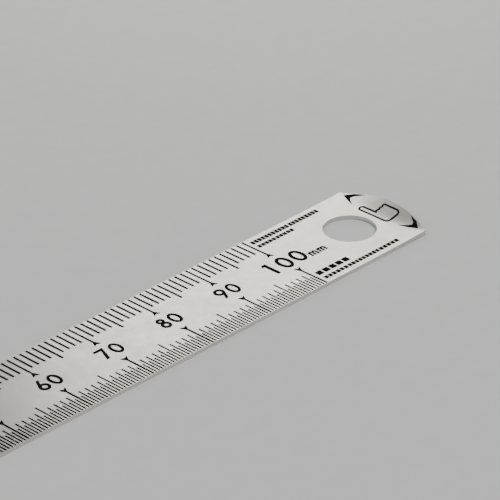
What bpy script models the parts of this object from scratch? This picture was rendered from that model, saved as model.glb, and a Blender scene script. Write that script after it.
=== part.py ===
"""A 100 mm pocket steel ruler with a pick-up tab: press the bent end and the other end lifts.

The blade is one strip of stainless steel. Everything else is black enamel fill: numerals,
ten-millimetre marks, the unit and the pictogram on the tab. Metres, +Z up. The origin is under
the middle of the blade, on the surface that it rests on, and +X runs along the scale.
"""

import math

import bmesh
import bpy
from mathutils import Vector

MM = 0.001

# Blade, in millimetres along the scale from the zero end, before the origin is moved.
LENGTH = 120.0
WIDTH = 15.0
THICK = 0.5
SCALE_LENGTH = 100
END_RADIUS = 15.8
CORNER_RADIUS = 0.45
ZERO_CORNER_RADIUS = 0.3
HOLE_X = 112.1
HOLE_RADIUS = 3.5

# Pick-up tab: the steel beyond a curved crease slopes up, and the flanks follow it gently.
CREASE_X = 116.8
CREASE_RADIUS = 17.2
CREASE_BLEND = 0.45
TAB_SLOPE = 0.248
FLANK_START_X = 105.0
FLANK_CURVE = 0.0014

# Enamel
INK_GAP = 0.01
INK_THICK = 0.03
EDGE_MARGIN = 0.08
TEN_MARK_LENGTH = 4.6
TEN_MARK_WIDTH = 0.24
FORK_LENGTH = 0.75
FORK_SPREAD = 0.5
NUMERAL_HEIGHT = 2.4
LAST_NUMERAL_HEIGHT = 2.9
NUMERAL_STROKE = 0.165         # share of the numeral's height
NUMERAL_Y = 0.1
LAST_NUMERAL_Y = -0.05
LAST_NUMERAL_SHIFT = 0.24
NUMERAL_GAP = 0.165            # share of the numeral's height
UNIT_X = 103.7
UNIT_BASE_Y = -1.5
UNIT_HEIGHT = 1.0
UNIT_STROKE = 0.26

# Pictogram on the tab
HAND_STROKE = 0.25
WEDGE_TIP_Y = 6.5
WEDGE_TIP_X = 117.95

HALF_TURN_STEPS = 24
STEEL = (0.72, 0.70, 0.67)
ENAMEL = (0.012, 0.011, 0.012)


def clear_scene():
    for obj in list(bpy.data.objects):
        bpy.data.objects.remove(obj, do_unlink=True)


def collection(name):
    made = bpy.data.collections.new(name)
    bpy.context.scene.collection.children.link(made)
    return made


def material(name, colour, roughness, metallic):
    made = bpy.data.materials.new(name)
    made.use_nodes = True
    shader = made.node_tree.nodes["Principled BSDF"]
    shader.inputs["Base Color"].default_value = (*colour, 1.0)
    shader.inputs["Roughness"].default_value = roughness
    shader.inputs["Metallic"].default_value = metallic
    return made


def lift(x, y):
    """Height of the underside above the table, at x from the zero end and y from the middle line."""
    centre_x = CREASE_X + CREASE_RADIUS
    inside = CREASE_RADIUS - math.hypot(x - centre_x, y)
    tab = TAB_SLOPE * CREASE_BLEND * math.log1p(math.exp(inside / CREASE_BLEND))
    flank = 0.5 * FLANK_CURVE * max(0.0, x - FLANK_START_X) ** 2
    return tab + flank


TIP_X = LENGTH - 0.05          # the slope shortens the blade a little, seen from above
ORIGIN_X = TIP_X / 2


def arc(cx, cy, radius, start, end, steps=HALF_TURN_STEPS, stretch=1.0):
    """Points along an arc, angles in degrees. stretch scales it across, for ellipses."""
    count = max(2, round(steps * abs(end - start) / 180))
    angles = [math.radians(start + (end - start) * i / count) for i in range(count + 1)]
    return [(cx + radius * stretch * math.cos(a), cy + radius * math.sin(a)) for a in angles]


def flat_solid(name, loops, low, high, group, surface):
    """A solid between two heights over the closed loops, which are outlines and their holes."""
    curve = bpy.data.curves.new(name, "CURVE")
    curve.dimensions = "2D"
    curve.fill_mode = "BOTH"
    curve.extrude = (high - low) / 2 * MM
    for loop in loops:
        spline = curve.splines.new("POLY")
        spline.points.add(len(loop) - 1)
        for point, (x, y) in zip(spline.points, loop):
            point.co = ((x - ORIGIN_X) * MM, y * MM, 0, 1)
        spline.use_cyclic_u = True
    guide = bpy.data.objects.new(name + "_outline", curve)
    bpy.context.scene.collection.objects.link(guide)
    graph = bpy.context.evaluated_depsgraph_get()
    mesh = bpy.data.meshes.new_from_object(guide.evaluated_get(graph))
    bpy.data.objects.remove(guide)
    mesh.name = name
    solid = bmesh.new()
    solid.from_mesh(mesh)
    bmesh.ops.remove_doubles(solid, verts=solid.verts, dist=1e-7)
    bmesh.ops.recalc_face_normals(solid, faces=solid.faces)
    bmesh.ops.translate(solid, verts=solid.verts, vec=(0, 0, (low + high) / 2 * MM))
    solid.to_mesh(mesh)
    solid.free()
    mesh.materials.append(surface)
    obj = bpy.data.objects.new(name, mesh)
    group.objects.link(obj)
    return obj


def slice_along(obj, axis, places, start_x):
    """Cuts the faces beyond start_x along planes, so that they can follow the bend."""
    mesh = bmesh.new()
    mesh.from_mesh(obj.data)
    normal = Vector((1, 0, 0)) if axis == "x" else Vector((0, 1, 0))
    for place in places:
        point = Vector(((place - ORIGIN_X) * MM, 0, 0)) if axis == "x" else Vector((0, place * MM, 0))
        limit = (start_x - ORIGIN_X) * MM
        faces = [f for f in mesh.faces if max(v.co.x for v in f.verts) > limit + 1e-7]
        edges = {e for f in faces for e in f.edges}
        verts = {v for f in faces for v in f.verts}
        bmesh.ops.bisect_plane(mesh, geom=[*verts, *edges, *faces], dist=1e-8,
                               plane_co=point, plane_no=normal)
    bmesh.ops.triangulate(mesh, faces=mesh.faces)
    mesh.to_mesh(obj.data)
    mesh.free()


def bend(obj):
    """Raises each vertex by the lift of the blade where it is."""
    for vertex in obj.data.vertices:
        vertex.co.z += lift(vertex.co.x / MM + ORIGIN_X, vertex.co.y / MM) * MM
    obj.data.update()


def enamel_shape(name, loops, group, enamel):
    """A film of enamel that follows the steel under it."""
    low = THICK + INK_GAP
    film = flat_solid(name, loops, low, low + INK_THICK, group, enamel)
    bend(film)


def blade_outline():
    half = WIDTH / 2
    centre_x = TIP_X - END_RADIUS
    edge = half - CORNER_RADIUS
    spread = math.degrees(math.asin(edge / END_RADIUS))
    end = arc(centre_x, 0, END_RADIUS, -spread, spread, steps=200)
    corner_x = end[-1][0] - CORNER_RADIUS * 0.35
    upper = arc(corner_x - 0.1, edge, CORNER_RADIUS, 35, 90, steps=20)
    lower = [(x, -y) for x, y in reversed(upper)]
    r = ZERO_CORNER_RADIUS
    zero = arc(r, half - r, r, 90, 180, steps=12) + arc(r, r - half, r, 180, 270, steps=12)
    return lower + end + upper + zero


def blade(group, steel):
    hole = arc(HOLE_X, 0, HOLE_RADIUS, 0, 360, steps=32)[:-1]
    plate = flat_solid("blade", [blade_outline(), hole], 0, THICK, group, steel)
    slice_along(plate, "x", [105, 106.6, 108.3, 110, 112.1, 114, 115.2], FLANK_START_X)
    slice_along(plate, "x", [115.8 + 0.3 * i for i in range(13)], 115.2)
    slice_along(plate, "y", [-6.5 + 1.3 * i for i in range(11)], 114.0)
    bend(plate)
    return plate


def stroke_outline(points, width):
    """The outline of a stroke of one width along a path, mitred at its bends."""
    left, right = [], []
    for i, (x, y) in enumerate(points):
        here = Vector((x, y))
        into = (here - Vector(points[i - 1])).normalized() if i else None
        out = (Vector(points[i + 1]) - here).normalized() if i < len(points) - 1 else None
        along = ((into or out) + (out or into)).normalized()
        side = Vector((-along.y, along.x))
        reach = width / 2 / max(0.3, side.dot(Vector((-(out or into).y, (out or into).x))))
        left.append(tuple(here + side * reach))
        right.append(tuple(here - side * reach))
    return left + right[::-1]


def ring(cx, cy, rx, ry, width):
    outer = arc(cx, cy, ry, 0, 360, stretch=rx / ry)[:-1]
    inner = arc(cx, cy, ry - width, 0, 360, stretch=(rx - width) / (ry - width))[:-1]
    return [outer, inner]


def glyph_0(w):
    return ring(0.335, 0.5, 0.335, 0.5, w), 0.67


def glyph_1(w):
    return [[(0.30 - w, 0), (0.30, 0), (0.30, 1), (0.08, 1), (0.0, 1 - w), (0.30 - w, 1 - w)]], 0.52


def glyph_2(w):
    r = 0.29
    path = arc(r + 0.01, 1 - r - w / 2 + 0.01, r, 172, -38, 24)
    path += [(w * 0.9, w / 2), (0.60, w / 2)]
    return [stroke_outline(path, w)], 0.62


def glyph_3(w):
    up, down = 0.235, 0.285
    top, low = 1 - up, down
    outer = arc(0.27, top, up, 165, -63) + arc(0.27, low, down, 57, -165)
    inner = arc(0.27, low, down - w, -165, 84) + [(0.17, low + down - w), (0.17, top - up + w)]
    inner += arc(0.27, top, up - w, -84, 165)
    return [outer + inner], 0.56


def glyph_4(w):
    bar = 0.19
    outer = [(0.0, bar), (0.41, 1.0), (0.41 + w, 1.0), (0.41 + w, bar + w), (0.66, bar + w),
             (0.66, bar), (0.41 + w, bar), (0.41 + w, 0), (0.41, 0), (0.41, bar)]
    inner = [(0.41, bar + w), (0.41, 0.72), (0.185, bar + w)]
    return [outer, inner], 0.66


def glyph_5(w):
    r = 0.285
    path = [(0.56, 1 - w / 2), (0.17, 1 - w / 2), (0.115, 0.545)]
    path += arc(0.265, r + w / 2 - 0.01, r - w / 2 + 0.055, 112, -150, 30)
    return [stroke_outline(path, w)], 0.60


def glyph_6(w):
    """A ring with a straight leg, which touches the ring's left side and leans to the right."""
    r, lean = 0.32, math.radians(28)
    centre = Vector((r, r))
    side = Vector((-math.cos(lean), math.sin(lean)))
    along = Vector((math.sin(lean), math.cos(lean)))
    start = centre + side * r
    reach = (1 - start.y) / along.y
    top_left = start + along * reach
    inner_side = start - side * w
    top_right = inner_side + along * ((1 - inner_side.y) / along.y)
    cut = centre + side * (r - w) + along * math.sqrt(r * r - (r - w) ** 2)
    first = math.degrees(math.atan2(cut.y - r, cut.x - r))
    last = math.degrees(math.atan2(start.y - r, start.x - r)) - 360
    outer = [tuple(top_left), tuple(top_right)] + arc(r, r, r, first, last)
    inner = arc(r, r, r - w, 0, 360)[:-1]
    return [outer, inner], 0.64


def glyph_7(w):
    return [[(0.08, 0.0), (0.435, 1 - w), (0.0, 1 - w), (0.0, 1.0), (0.66, 1.0), (0.10 + w * 1.1, 0.0)]], 0.66


def glyph_8(w):
    up, down = 0.245, 0.295
    cx, top, low = down, 1 - up, down
    gap = top - low
    reach = (gap * gap + down * down - up * up) / (2 * gap)
    waist = math.degrees(math.acos(reach / down))
    rise = math.degrees(math.acos((gap - reach) / up))
    outer = arc(cx, low, down, 90 + waist, 450 - waist) + arc(cx, top, up, rise - 90, 270 - rise)[1:-1]
    inner_up = arc(cx, top, up - w, 0, 360)[:-1]
    inner_low = arc(cx, low, down - w, 0, 360)[:-1]
    return [outer, inner_up, inner_low], 0.59


def glyph_9(w):
    loops, width = glyph_6(w)
    return [[(width - x, 1 - y) for x, y in loop] for loop in loops], width


GLYPHS = {str(i): glyph for i, glyph in enumerate(
    (glyph_0, glyph_1, glyph_2, glyph_3, glyph_4, glyph_5, glyph_6, glyph_7, glyph_8, glyph_9))}


def numeral(value, group, enamel):
    """The digits of one numeral, centred on its mark."""
    last = value == SCALE_LENGTH
    height = LAST_NUMERAL_HEIGHT if last else NUMERAL_HEIGHT
    middle = LAST_NUMERAL_Y if last else NUMERAL_Y
    shapes = [GLYPHS[digit](NUMERAL_STROKE) for digit in str(value)]
    total = sum(width for _, width in shapes) + NUMERAL_GAP * (len(shapes) - 1)
    x = value - total * height / 2 + (LAST_NUMERAL_SHIFT if last else 0)
    for place, (loops, width) in enumerate(shapes):
        placed = [[(x + px * height, middle + (py - 0.5) * height) for px, py in loop]
                  for loop in loops]
        name = f"numeral_{value}_digit_{place + 1}"
        enamel_shape(name, placed, group, enamel)
        x += (width + NUMERAL_GAP) * height


def ten_mark(value, side, group, enamel):
    """A long graduation with a forked tip that points at its numeral. side is 1 or -1."""
    half = TEN_MARK_WIDTH / 2
    edge = WIDTH / 2 - EDGE_MARGIN
    neck = WIDTH / 2 - TEN_MARK_LENGTH
    tip = neck - FORK_LENGTH
    right = [(half, edge), (half, neck + 0.1), (FORK_SPREAD, tip + 0.05), (FORK_SPREAD * 0.55, tip + 0.12)]
    outline = right + [(0, tip + 0.3)] + [(-x, y) for x, y in reversed(right)]
    loop = [(value + x, y * side) for x, y in outline]
    name = f"ten_mark_{'mm' if side > 0 else 'half_mm'}_{value}"
    enamel_shape(name, [loop], group, enamel)


def unit_letter(index, group, enamel):
    """One lower-case m: three legs under two arches."""
    w, h = UNIT_STROKE, UNIT_HEIGHT
    pitch = 0.5
    x0 = UNIT_X + index * (2 * pitch + w + 0.26)
    outer, inner = pitch / 2 + w / 2, pitch / 2 - w / 2
    crown = h - outer
    points = [(0, 0), (0, h), (w, h), (w, h - 0.12)]
    points += arc(pitch / 2 + w / 2, crown, outer, 110, 52, 30)
    points += arc(pitch * 1.5 + w / 2, crown, outer, 128, 0, 30)
    points += [(2 * pitch + w, 0), (2 * pitch, 0)]
    points += arc(pitch * 1.5 + w / 2, crown, inner, 0, 180, 16)
    points += [(pitch + w, 0), (pitch, 0)]
    points += arc(pitch / 2 + w / 2, crown, inner, 0, 180, 16)
    points += [(w, 0)]
    loop = [(x0 + x, UNIT_BASE_Y + y) for x, y in points]
    enamel_shape(f"unit_letter_{index + 1}", [loop], group, enamel)


def hand_loops():
    """A plain pointing hand, seen from its back: a finger along +Y and three folded knuckles."""
    w, finger_x, finger, tip_y = HAND_STROKE, 116.97, 0.5, 2.35
    knuckle, pitch, row_y = 0.36, 0.6, 0.2
    first, second, third = (finger_x + finger + 0.2 + pitch * k for k in range(3))
    valley = math.degrees(math.acos(pitch / 2 / knuckle))
    start = math.degrees(math.acos(-0.2 / knuckle))
    low, palm = -2.55, third + knuckle
    outer = arc(finger_x, tip_y, finger, 180, 0, 16)
    outer += arc(first, row_y, knuckle, start, valley, 16)
    outer += arc(second, row_y, knuckle, 180 - valley, valley, 16)[1:]
    outer += arc(third, row_y, knuckle, 180 - valley, 0, 16)[1:]
    outer += arc(palm - 0.8, low + 0.8, 0.8, 0, -90, 12)
    outer += arc(finger_x - finger + 0.7, low + 0.7, 0.7, -90, -180, 12)
    inner = arc(finger_x, tip_y, finger - w, 180, 0, 16)
    inner += [(finger_x + finger - w, row_y - 0.12)]
    for place in (first, second, third):
        inner += arc(place, row_y - 0.05, knuckle - w + 0.04, 165, 15, 16)
    inner += [(palm - w, row_y - 0.1)]
    inner += arc(palm - 0.8, low + 0.8, 0.8 - w, 0, -90, 12)
    inner += arc(finger_x - finger + 0.7, low + 0.7, 0.7 - w, -90, -180, 12)
    return [outer, inner]


def hand(group, enamel):
    enamel_shape("press_here_hand", hand_loops(), group, enamel)


def wedge(side, group, enamel):
    """A tapered chevron at a corner of the tab, one arm along the crease and one along the end."""
    tip = (WEDGE_TIP_X, WEDGE_TIP_Y)
    crease_end, edge_end = (116.9, 4.0), (119.3, 4.0)
    outline = [tip, (117.36, 5.2), crease_end, (117.62, 5.0), (118.02, 5.4), (118.5, 5.15),
               edge_end, (118.85, 5.4)]
    loop = [(x, y * side) for x, y in outline]
    name = "tab_wedge_" + ("mm_side" if side > 0 else "half_mm_side")
    enamel_shape(name, [loop], group, enamel)


def main():
    clear_scene()
    group = collection("steel_ruler")
    steel = material("stainless_steel", STEEL, 0.32, 1.0)
    enamel = material("black_enamel", ENAMEL, 0.45, 0.0)
    blade(group, steel)
    for value in range(10, SCALE_LENGTH + 1, 10):
        numeral(value, group, enamel)
        ten_mark(value, 1, group, enamel)
        ten_mark(value, -1, group, enamel)
    for index in range(2):
        unit_letter(index, group, enamel)
    hand(group, enamel)
    for side in (1, -1):
        wedge(side, group, enamel)


main()
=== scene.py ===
"""Looks of the short steel ruler: satin steel, black enamel marks, and a pale studio around it.

Lengths are millimetres along the scale from the zero end until they are placed, when they become
metres in the row's frame, whose origin is under the middle of the blade.
"""

import math

import bmesh
import bpy
from mathutils import Matrix, Vector


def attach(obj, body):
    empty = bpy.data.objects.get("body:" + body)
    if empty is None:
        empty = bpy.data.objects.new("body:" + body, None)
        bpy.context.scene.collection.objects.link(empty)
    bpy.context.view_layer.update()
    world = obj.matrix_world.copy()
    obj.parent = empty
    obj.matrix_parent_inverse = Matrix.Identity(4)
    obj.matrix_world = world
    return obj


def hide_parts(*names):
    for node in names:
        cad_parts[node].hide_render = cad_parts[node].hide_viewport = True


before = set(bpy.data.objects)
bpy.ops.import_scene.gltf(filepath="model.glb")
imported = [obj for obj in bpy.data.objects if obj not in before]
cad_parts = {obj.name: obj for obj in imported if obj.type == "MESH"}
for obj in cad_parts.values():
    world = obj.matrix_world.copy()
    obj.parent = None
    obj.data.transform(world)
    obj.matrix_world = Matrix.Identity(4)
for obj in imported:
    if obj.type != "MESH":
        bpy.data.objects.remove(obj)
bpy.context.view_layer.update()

MM = 0.001

# Blade, the same dimensions as the CAD part
LENGTH = 119.95
WIDTH = 15.0
THICK = 0.5
ORIGIN_X = LENGTH / 2
END_RADIUS = 15.8
CORNER_RADIUS = 0.45
HOLE_X, HOLE_RADIUS = 112.1, 3.5
CREASE_X, CREASE_RADIUS, CREASE_BLEND, TAB_SLOPE = 116.8, 17.2, 0.45, 0.248
FLANK_START_X, FLANK_CURVE = 105.0, 0.0014
ZERO_CORNER_RADIUS = 0.3
CORNER_INSET = 0.1
RIM_BEVEL = 0.07
RIM_ANGLE = 50
SHARP_ANGLE = 35

# Where the blade is cut, so that it can follow its bend
FLANK_STEP = 0.75
TAB_START_X, TAB_END_X = 114.0, 120.0
TAB_STEP_X, TAB_STEP_Y = 0.15, 0.4
TAB_CUT_Y = 7.2

# Enamel
INK_LOW, INK_THICK = THICK + 0.008, 0.012
EDGE_MARGIN = 0.08
MM_LINE, HALF_LINE = 0.31, 0.22
TICK_LENGTH = {"half": 2.5, "one": 3.5, "five": 4.5}
SCALE_LENGTH = 100

# Small print: bars of this share of their pitch, and the share of a line that parts two words
BAR_SHARE = 0.8
WORD_SPACE = 0.08

# Studio and camera. Azimuth turns from +X towards +Y, and angles are in degrees.
FLOOR_SIZE = 6
FLOOR_GAP = 0.00002
LIGHT_TARGET = Vector((0.045, 0, 0))
WORLD_COLOUR, WORLD_STRENGTH = (0.90, 0.95, 0.93, 1), 0.33
CAMERA_AZIMUTH, CAMERA_DOWN, CAMERA_ROLL = 44.6874, 28.9543, -0.6581
CAMERA_PLACE = Vector((-166.574, -257.720, 207.112 + THICK))
LENS, SENSOR, LENS_SHIFT = 243.7, 36, -0.002


def lift(x, y):
    """Height of the blade's underside above the table."""
    inside = CREASE_RADIUS - math.hypot(x - CREASE_X - CREASE_RADIUS, y)
    tab = TAB_SLOPE * CREASE_BLEND * math.log1p(math.exp(inside / CREASE_BLEND))
    return tab + 0.5 * FLANK_CURVE * max(0.0, x - FLANK_START_X) ** 2


def frange(low, high, step):
    count = round((high - low) / step)
    return [low + i * step for i in range(count + 1)]


def arc(cx, cy, radius, start, end, count):
    """Points along an arc, angles in degrees."""
    angles = [math.radians(start + (end - start) * i / count) for i in range(count + 1)]
    return [(cx + radius * math.cos(a), cy + radius * math.sin(a)) for a in angles]


def flat_mesh(name, loops, thick):
    """A solid of one thickness over closed loops, in millimetres from the zero end."""
    curve = bpy.data.curves.new(name, "CURVE")
    curve.dimensions = "2D"
    curve.fill_mode = "BOTH"
    curve.extrude = thick / 2
    for loop in loops:
        spline = curve.splines.new("POLY")
        spline.points.add(len(loop) - 1)
        for point, (x, y) in zip(spline.points, loop):
            point.co = (x - ORIGIN_X, y, 0, 1)
        spline.use_cyclic_u = True
    guide = bpy.data.objects.new(name, curve)
    bpy.context.scene.collection.objects.link(guide)
    graph = bpy.context.evaluated_depsgraph_get()
    mesh = bpy.data.meshes.new_from_object(guide.evaluated_get(graph))
    bpy.data.objects.remove(guide)
    mesh.name = name
    return mesh


def piece(name, mesh, low, thick, slices, surface, replaced=()):
    """Cuts the mesh at the slices, lifts it onto the bent blade and hands it to the frame.

    A slice is a point, a normal and the place along the scale beyond which faces are cut."""
    solid = bmesh.new()
    solid.from_mesh(mesh)
    bmesh.ops.remove_doubles(solid, verts=solid.verts, dist=1e-4)
    bmesh.ops.recalc_face_normals(solid, faces=solid.faces)
    for point, normal, start in slices:
        faces = [f for f in solid.faces if max(v.co.x for v in f.verts) + ORIGIN_X > start]
        geom = set(faces)
        for face in faces:
            geom.update(face.edges, face.verts)
        bmesh.ops.bisect_plane(solid, geom=list(geom), dist=1e-5, plane_co=point, plane_no=normal)
    for vert in solid.verts:
        x, y, z = vert.co
        vert.co.z = z + thick / 2 + low + lift(x + ORIGIN_X, y)
    bmesh.ops.scale(solid, vec=(MM, MM, MM), verts=solid.verts)
    solid.to_mesh(mesh)
    solid.free()
    mesh.materials.clear()
    mesh.materials.append(surface)
    mesh.shade_smooth()
    mesh.set_sharp_from_angle(angle=math.radians(SHARP_ANGLE))
    obj = bpy.data.objects.new(name, mesh)
    bpy.context.scene.collection.objects.link(obj)
    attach(obj, "root")
    if replaced:
        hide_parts(*replaced)
    return obj


def cuts_across(places, start):
    return [(Vector((x - ORIGIN_X, 0, 0)), Vector((1, 0, 0)), start) for x in places]


def blade_slices():
    flank = cuts_across(frange(FLANK_START_X, TAB_START_X, FLANK_STEP), 90)
    tab = cuts_across(frange(TAB_START_X, TAB_END_X, TAB_STEP_X), TAB_START_X - 2)
    along = [(Vector((0, y, 0)), Vector((0, 1, 0)), TAB_START_X)
             for y in frange(-TAB_CUT_Y, TAB_CUT_Y, TAB_STEP_Y)]
    return flank + tab + along


# Materials

def new_material(name):
    made = bpy.data.materials.new(name)
    made.use_nodes = True
    tree = made.node_tree
    return made, tree, tree.nodes["Principled BSDF"]


def noise(tree, scale, detail):
    place = tree.nodes.new("ShaderNodeTexCoord")
    made = tree.nodes.new("ShaderNodeTexNoise")
    made.inputs["Scale"].default_value = scale
    made.inputs["Detail"].default_value = detail
    tree.links.new(place.outputs["Object"], made.inputs["Vector"])
    return made.outputs["Fac"]


def ramp(tree, source, low, high):
    """Turns a noise into colours between low and high, over the middle of its range."""
    made = tree.nodes.new("ShaderNodeValToRGB")
    first, last = made.color_ramp.elements
    first.position, first.color = 0.3, low
    last.position, last.color = 0.7, high
    tree.links.new(source, made.inputs["Fac"])
    return made.outputs["Color"]


def grey(value):
    return (value, value, value, 1)


def steel_material():
    """Satin stainless steel: a fine matt grain with faint, slow changes of tone."""
    made, tree, shader = new_material("satin_steel")
    shader.inputs["Metallic"].default_value = 1.0
    tone = ramp(tree, noise(tree, 90, 3), (0.63, 0.615, 0.58, 1), (0.70, 0.685, 0.65, 1))
    tree.links.new(tone, shader.inputs["Base Color"])
    rough = ramp(tree, noise(tree, 700, 5), grey(0.27), grey(0.33))
    tree.links.new(rough, shader.inputs["Roughness"])
    bump = tree.nodes.new("ShaderNodeBump")
    bump.inputs["Strength"].default_value = 0.12
    bump.inputs["Distance"].default_value = 0.00002
    tree.links.new(noise(tree, 9000, 2), bump.inputs["Height"])
    tree.links.new(bump.outputs["Normal"], shader.inputs["Normal"])
    return made


def enamel_material():
    """Dull black enamel whose tone and roughness vary a little."""
    made, tree, shader = new_material("black_enamel")
    tone = ramp(tree, noise(tree, 1500, 4), (0.003, 0.003, 0.0035, 1), (0.008, 0.0075, 0.008, 1))
    tree.links.new(tone, shader.inputs["Base Color"])
    rough = ramp(tree, noise(tree, 3000, 3), grey(0.75), grey(0.85))
    tree.links.new(rough, shader.inputs["Roughness"])
    shader.inputs["Specular IOR Level"].default_value = 0.04
    return made


def floor_material():
    """A matt pale sheet with a faint mottle."""
    made, tree, shader = new_material("pale_floor")
    tone = ramp(tree, noise(tree, 400, 5), (0.70, 0.70, 0.69, 1), (0.73, 0.73, 0.72, 1))
    tree.links.new(tone, shader.inputs["Base Color"])
    shader.inputs["Roughness"].default_value = 0.85
    shader.inputs["Specular IOR Level"].default_value = 0.2
    return made


# Shapes

def blade_loops():
    """The blade's outline and its hole."""
    half = WIDTH / 2
    edge = half - CORNER_RADIUS
    spread = math.degrees(math.asin(edge / END_RADIUS))
    end = arc(LENGTH - END_RADIUS, 0, END_RADIUS, -spread, spread, 96)
    corner_x = end[-1][0] - CORNER_RADIUS * 0.35
    upper = arc(corner_x - CORNER_INSET, edge, CORNER_RADIUS, 35, 90, 8)
    lower = [(x, -y) for x, y in reversed(upper)]
    r = ZERO_CORNER_RADIUS
    zero = arc(r, half - r, r, 90, 180, 8) + arc(r, r - half, r, 180, 270, 8)
    hole = arc(HOLE_X, 0, HOLE_RADIUS, 0, 360, 128)[:-1]
    return [lower + end + upper + zero, hole]


def tick(x, side, length, width):
    """A graduation from one edge inwards. side is 1 on the millimetre edge and -1 on the other."""
    outer = (WIDTH / 2 - EDGE_MARGIN) * side
    inner = (WIDTH / 2 - length) * side
    left, right = x - width / 2, x + width / 2
    return [(left, outer), (right, outer), (right, inner), (left, inner)]


def mm_ticks():
    """All but the tens, which are nodes of the CAD part."""
    return [tick(x, 1, TICK_LENGTH["five" if x % 5 == 0 else "one"], MM_LINE)
            for x in range(1, SCALE_LENGTH) if x % 10]


def half_mm_ticks():
    loops = []
    for halves in range(1, 2 * SCALE_LENGTH):
        if halves % 20 == 0:
            continue
        kind = "five" if halves % 10 == 0 else "one" if halves % 2 == 0 else "half"
        loops.append(tick(halves / 2, -1, TICK_LENGTH[kind], HALF_LINE))
    return loops


def print_line(x0, x1, y0, y1, words, pitch):
    """A line of small print as plain bars that spell nothing: words is each word's share."""
    loops, x = [], x0
    total = sum(words) + WORD_SPACE * (len(words) - 1)
    for share in words:
        end = x + (x1 - x0) * share / total
        count = max(1, round((end - x) / pitch))
        step = (end - x) / count
        for i in range(count):
            left, right = x + i * step, x + (i + BAR_SHARE) * step
            loops.append([(left, y0), (right, y0), (right, y1), (left, y1)])
        x = end + (x1 - x0) * WORD_SPACE / total
    return loops


def small_print():
    loops = print_line(100.7, 112.9, 5.98, 6.75, (5, 4), 0.62)
    loops += print_line(100.7, 107.2, 4.85, 5.5, (5, 5), 0.62)
    loops += print_line(100.7, 106.6, -5.5, -4.6, (1,), 1.2)
    return loops + print_line(100.7, 114.3, -6.75, -6.1, (6, 8, 5), 0.66)


# Object

steel, enamel, pale = steel_material(), enamel_material(), floor_material()

blade = piece("blade_surface", flat_mesh("blade_surface", blade_loops(), THICK), 0, THICK,
              blade_slices(), steel, ["blade"])
rim = blade.modifiers.new("rim", "BEVEL")
rim.width = RIM_BEVEL * MM
rim.segments = 3
rim.limit_method = "ANGLE"
rim.angle_limit = math.radians(RIM_ANGLE)
rim.harden_normals = True

for name, loops in (("graduations_mm", mm_ticks()), ("graduations_half_mm", half_mm_ticks()),
                    ("small_print_bars", small_print())):
    piece(name, flat_mesh(name, loops, INK_THICK), INK_LOW, INK_THICK, [], enamel)

for name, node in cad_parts.items():
    if name != "blade":
        node.data.materials.clear()
        node.data.materials.append(enamel)

# Studio

bpy.ops.mesh.primitive_plane_add(size=FLOOR_SIZE, location=(0, 0, -FLOOR_GAP))
floor = bpy.context.object
floor.name = "floor"
floor.data.materials.append(pale)


def direction(azimuth, elevation):
    a, e = math.radians(azimuth), math.radians(elevation)
    return Vector((math.cos(a) * math.cos(e), math.sin(a) * math.cos(e), math.sin(e)))


def softbox(name, azimuth, elevation, distance, size, power, colour=(1, 1, 1)):
    """An area light that faces the tab's half of the blade."""
    away = direction(azimuth, elevation)
    data = bpy.data.lights.new(name, "AREA")
    data.shape = "RECTANGLE"
    data.size, data.size_y = size
    data.energy = power
    data.color = colour
    light = bpy.data.objects.new(name, data)
    light.location = LIGHT_TARGET + away * distance
    light.rotation_mode = "QUATERNION"
    light.rotation_quaternion = away.to_track_quat("Z", "Y")
    bpy.context.scene.collection.objects.link(light)


softbox("mirror_box", 48, 28, 0.17, (0.08, 0.07), 0.05, (1.0, 0.93, 0.88))
softbox("key", -80, 60, 1.3, (0.6, 0.6), 8)
softbox("fill", 170, 50, 1.6, (0.9, 0.9), 5, (0.95, 0.98, 1.0))

world = bpy.data.worlds.new("studio")
world.use_nodes = True
background = world.node_tree.nodes["Background"]
background.inputs["Color"].default_value = WORLD_COLOUR
background.inputs["Strength"].default_value = WORLD_STRENGTH
bpy.context.scene.world = world


def place_camera():
    """Beyond the zero end on the half-millimetre side, looking across the blade at its tab."""
    data = bpy.data.cameras.new("camera")
    data.lens = LENS
    data.sensor_width = SENSOR
    data.shift_y = LENS_SHIFT
    data.clip_start = 0.01
    data.clip_end = 20
    camera = bpy.data.objects.new("camera", data)
    forward = direction(CAMERA_AZIMUTH, -CAMERA_DOWN)
    level = forward.cross(Vector((0, 0, 1))).normalized()
    roll = math.radians(CAMERA_ROLL)
    right = level * math.cos(roll) + level.cross(forward) * math.sin(roll)
    turn = Matrix((right, right.cross(forward), -forward)).transposed()
    place = (CAMERA_PLACE - Vector((ORIGIN_X, 0, 0))) * MM
    camera.matrix_world = Matrix.Translation(place) @ turn.to_4x4()
    bpy.context.scene.collection.objects.link(camera)
    bpy.context.scene.camera = camera


place_camera()
